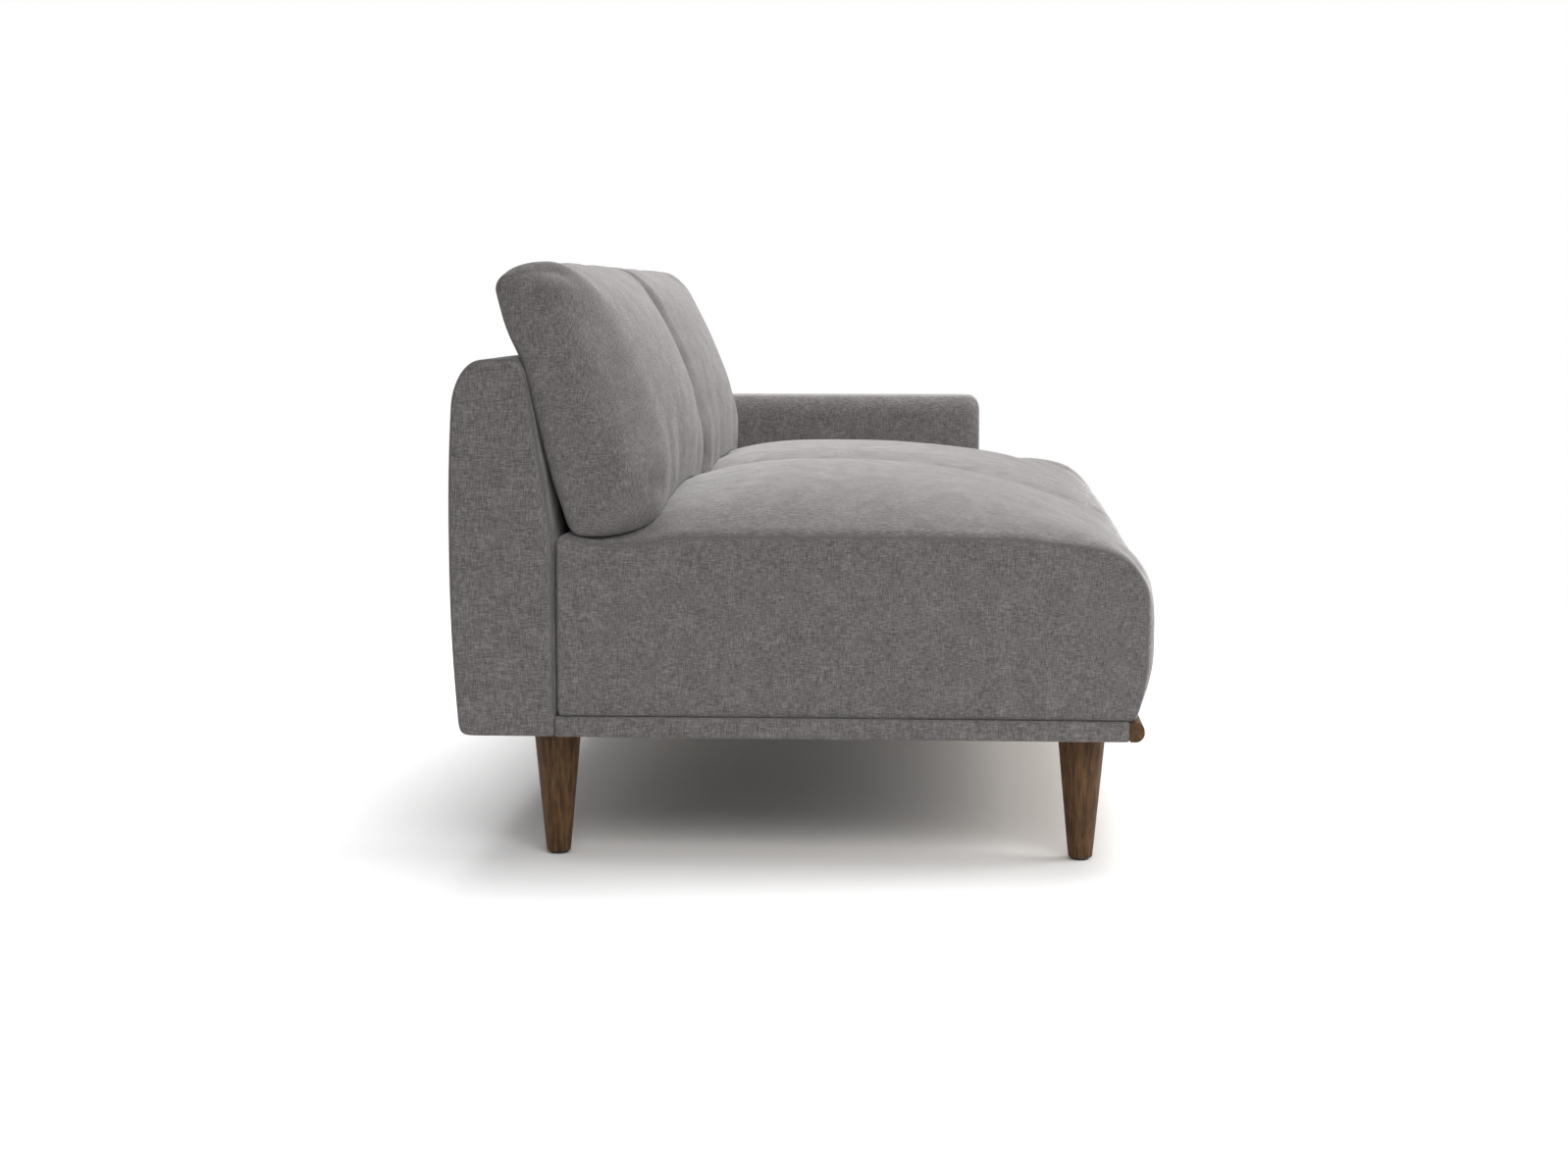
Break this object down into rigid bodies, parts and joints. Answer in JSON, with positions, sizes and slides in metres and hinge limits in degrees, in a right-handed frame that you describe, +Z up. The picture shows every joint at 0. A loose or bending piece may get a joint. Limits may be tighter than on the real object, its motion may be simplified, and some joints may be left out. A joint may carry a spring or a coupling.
{
  "type": "modular sofa section",
  "caption": "Modular sofa section with a low end arm, loose crowned seat and back cushions in grey woven fabric, a slim platform with a rounded wood front trim, and tapered round legs.",
  "frame": {"origin": "on the floor under the middle of the section's box", "axes": "+X along the sofa from the open end to the arm, -Y is the front, +Z is up"},
  "size_m": [1.61, 0.97, 0.8452],
  "materials": {
    "grey_fabric": "heathered woven upholstery fabric, matt",
    "dark_wood": "dark stained, satin",
    "frame_timber": "sawn softwood, unfinished",
    "fibre_board": "pressed fibre board",
    "black_webbing": "elastic webbing",
    "black_cloth": "thin unwoven cloth",
    "zinc_steel": "zinc plated",
    "nylon_glide": "moulded, matt",
    "cream_foam": "open-cell foam",
    "zip_tape": "woven tape with moulded teeth"
  },
  "bodies": {
    "frame": {"front_trim": "dark_wood", "front_rail": "frame_timber", "rear_rail": "frame_timber", "end_rail_open": "frame_timber", "end_rail_arm": "frame_timber", "centre_rail": "frame_timber", "rail_cover_open": "grey_fabric", "rail_cover_arm": "grey_fabric", "seat_webbing_open": "black_webbing", "seat_webbing_arm": "black_webbing", "dust_cloth": "black_cloth", "leg_front_open": "dark_wood", "leg_front_arm": "dark_wood", "leg_rear_open": "dark_wood", "leg_rear_arm": "dark_wood", "leg_bolt_front_open": "zinc_steel", "leg_bolt_front_arm": "zinc_steel", "leg_bolt_rear_open": "zinc_steel", "leg_bolt_rear_arm": "zinc_steel", "leg_glide_front_open": "nylon_glide", "leg_glide_front_arm": "nylon_glide", "leg_glide_rear_open": "nylon_glide", "leg_glide_rear_arm": "nylon_glide", "back_cover": "grey_fabric", "back_bottom_rail": "frame_timber", "back_top_rail": "frame_timber", "back_post_open": "frame_timber", "back_post_centre": "frame_timber", "back_post_arm": "frame_timber", "back_board": "fibre_board", "back_bolt_open": "zinc_steel", "back_bolt_arm": "zinc_steel", "arm_cover": "grey_fabric", "arm_bottom_rail": "frame_timber", "arm_top_rail": "frame_timber", "arm_front_post": "frame_timber", "arm_rear_post": "frame_timber", "arm_bolt_front": "zinc_steel", "arm_bolt_rear": "zinc_steel", "hook_screw_front": "zinc_steel", "hook_screw_rear": "zinc_steel"},
    "hook_front": {"hook_front": "zinc_steel"},
    "hook_rear": {"hook_rear": "zinc_steel"},
    "seat_cushion_open": {"seat_cover_open": "grey_fabric", "seat_foam_open": "cream_foam", "seat_zip_open": "zip_tape"},
    "seat_cushion_arm": {"seat_cover_arm": "grey_fabric", "seat_foam_arm": "cream_foam", "seat_zip_arm": "zip_tape"},
    "back_cushion_open": {"back_cushion_cover_open": "grey_fabric", "back_cushion_foam_open": "cream_foam", "back_cushion_zip_open": "zip_tape"},
    "back_cushion_arm": {"back_cushion_cover_arm": "grey_fabric", "back_cushion_foam_arm": "cream_foam", "back_cushion_zip_arm": "zip_tape"},
    "seat_slider_open": {"seat_zip_slider_open": "zinc_steel"},
    "seat_slider_arm": {"seat_zip_slider_arm": "zinc_steel"},
    "back_cushion_slider_open": {"back_cushion_zip_slider_open": "zinc_steel"},
    "back_cushion_slider_arm": {"back_cushion_zip_slider_arm": "zinc_steel"}
  },
  "joints": [
    {"name": "hook_front_swing", "type": "hinge", "parent": "frame", "child": "hook_front", "pos_m": [-0.75, -0.254, 0.1755], "axis": [0, 0, 1], "range_deg": [0, 90]},
    {"name": "hook_rear_swing", "type": "hinge", "parent": "frame", "child": "hook_rear", "pos_m": [-0.75, 0.096, 0.1755], "axis": [0, 0, 1], "range_deg": [0, 90]},
    {"name": "seat_open_lift", "type": "slide", "parent": "frame", "child": "seat_cushion_open", "axis": [0, 0, 1], "range_m": [0, 0.5]},
    {"name": "seat_arm_lift", "type": "slide", "parent": "frame", "child": "seat_cushion_arm", "axis": [0, 0, 1], "range_m": [0, 0.5]},
    {"name": "back_cushion_open_lift", "type": "slide", "parent": "seat_cushion_open", "child": "back_cushion_open", "axis": [0, 0, 1], "range_m": [0, 0.28]},
    {"name": "back_cushion_arm_lift", "type": "slide", "parent": "seat_cushion_arm", "child": "back_cushion_arm", "axis": [0, 0, 1], "range_m": [0, 0.28]},
    {"name": "seat_zip_open_run", "type": "slide", "parent": "seat_cushion_open", "child": "seat_slider_open", "axis": [1, 0, 0], "range_m": [0, 0.435]},
    {"name": "seat_zip_arm_run", "type": "slide", "parent": "seat_cushion_arm", "child": "seat_slider_arm", "axis": [1, 0, 0], "range_m": [0, 0.435]},
    {"name": "back_cushion_zip_open_run", "type": "slide", "parent": "back_cushion_open", "child": "back_cushion_slider_open", "axis": [1, 0, 0], "range_m": [0, 0.435]},
    {"name": "back_cushion_zip_arm_run", "type": "slide", "parent": "back_cushion_arm", "child": "back_cushion_slider_arm", "axis": [1, 0, 0], "range_m": [0, 0.435]}
  ]
}
